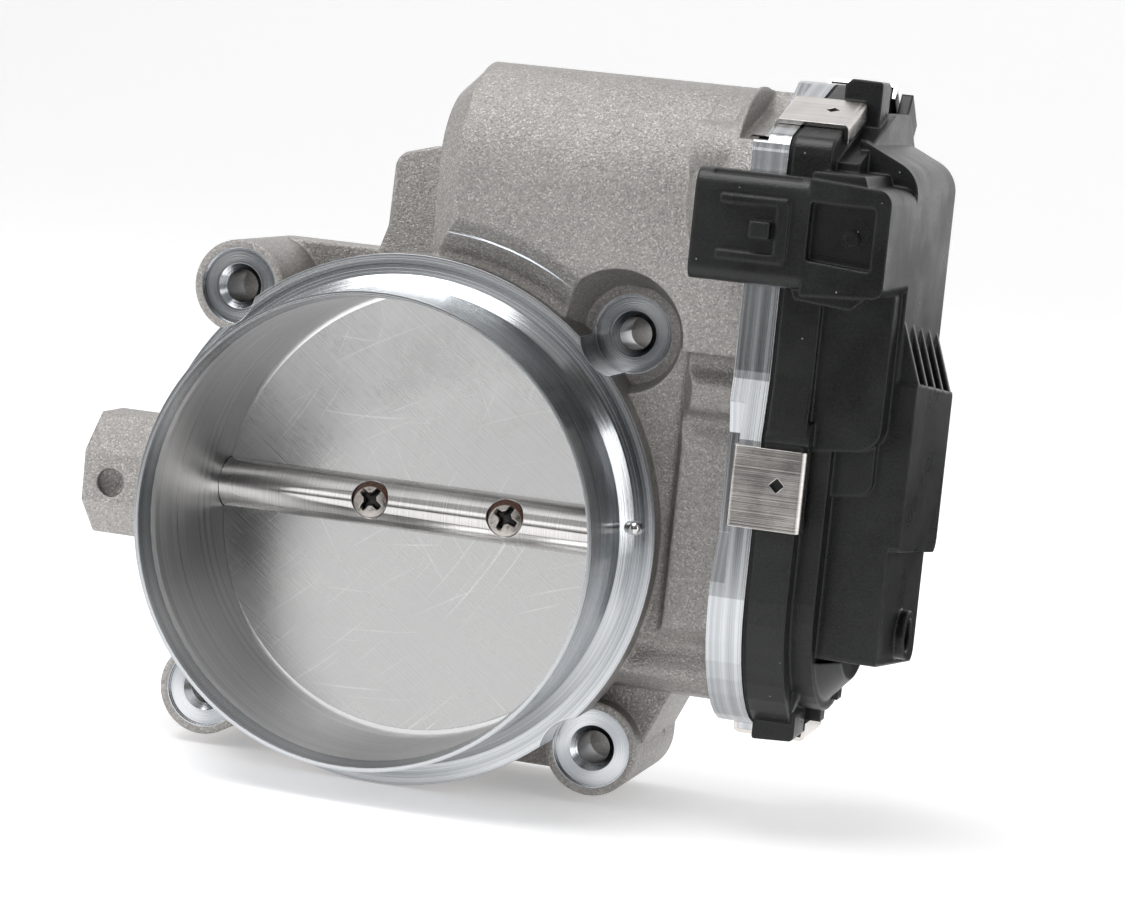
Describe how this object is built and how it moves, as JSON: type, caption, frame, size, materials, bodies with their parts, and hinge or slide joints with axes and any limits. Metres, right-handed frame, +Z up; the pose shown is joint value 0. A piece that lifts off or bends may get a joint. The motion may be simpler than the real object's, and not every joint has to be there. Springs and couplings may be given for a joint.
{
  "type": "electronic throttle body",
  "caption": "Cast electronic throttle body with a wide single bore, a sprung butterfly plate, a motor with reduction gears and a clipped plastic gear cover with a plug socket.",
  "frame": {"origin": "centre of the four mounting bolts, on the rear mounting face", "axes": "+Y out of the rear mounting face along the bore, +Z up towards the motor, +X along the throttle shaft towards the gear cover"},
  "size_m": [0.182, 0.0852, 0.1571],
  "materials": {
    "cast_aluminium": "rough die cast with machined faces",
    "plate_metal": "brushed",
    "steel": "satin",
    "bright_steel": "polished",
    "spring_steel": "bright rolled",
    "dark_steel": "oiled",
    "seal_rubber": "matt",
    "black_plastic": "fine spark texture",
    "gear_plastic": "smooth",
    "sector_plastic": "smooth",
    "copper": "varnished",
    "brass": "plain",
    "magnet": "sintered",
    "board": "solder mask"
  },
  "bodies": {
    "body": {"housing": "cast_aluminium", "locating_pin": "bright_steel", "left_bearing": "steel", "right_bearing": "steel", "left_shaft_seal": "seal_rubber", "right_shaft_seal": "seal_rubber", "motor_can": "steel", "motor_magnets": "magnet", "motor_brushes": "magnet", "motor_end_plate": "steel", "motor_front_bush": "brass", "motor_rear_bush": "brass", "motor_terminals": "brass", "motor_screws": "steel", "motor_wave_spring": "dark_steel", "idler_pin": "bright_steel", "return_spring": "dark_steel", "spring_sleeve": "gear_plastic", "sensor_board": "board", "connector_pins": "brass", "gear_cover": "black_plastic", "cover_gasket": "seal_rubber", "cover_clips": "spring_steel", "closed_stop_screw": "steel"},
    "throttle": {"throttle_shaft": "bright_steel", "throttle_plate": "plate_metal", "plate_screws": "steel", "sector_gear": "sector_plastic", "sensor_magnet": "magnet"},
    "idler": {"idler_gear": "gear_plastic"},
    "rotor": {"motor_shaft": "bright_steel", "motor_armature": "copper", "motor_commutator": "copper", "motor_pinion": "brass"}
  },
  "joints": [
    {"name": "throttle_turn", "type": "hinge", "parent": "body", "child": "throttle", "pos_m": [0, -0.019, 0], "axis": [-1, 0, 0], "range_deg": [-7, 76], "stiffness_Nm_per_rad": 0.3},
    {"name": "idler_turn", "type": "hinge", "parent": "body", "child": "idler", "pos_m": [0.078, -0.01539, 0.03522], "axis": [-1, 0, 0], "range_deg": [-224, 21]},
    {"name": "motor_turn", "type": "hinge", "parent": "body", "child": "rotor", "pos_m": [0.04, -0.023, 0.0703], "axis": [-1, 0, 0], "range_deg": [-79, 851]}
  ],
  "couplings": [
    {"joint": "idler_turn", "follows": "throttle_turn", "ratio": -2.9444},
    {"joint": "motor_turn", "follows": "throttle_turn", "ratio": 11.189}
  ]
}
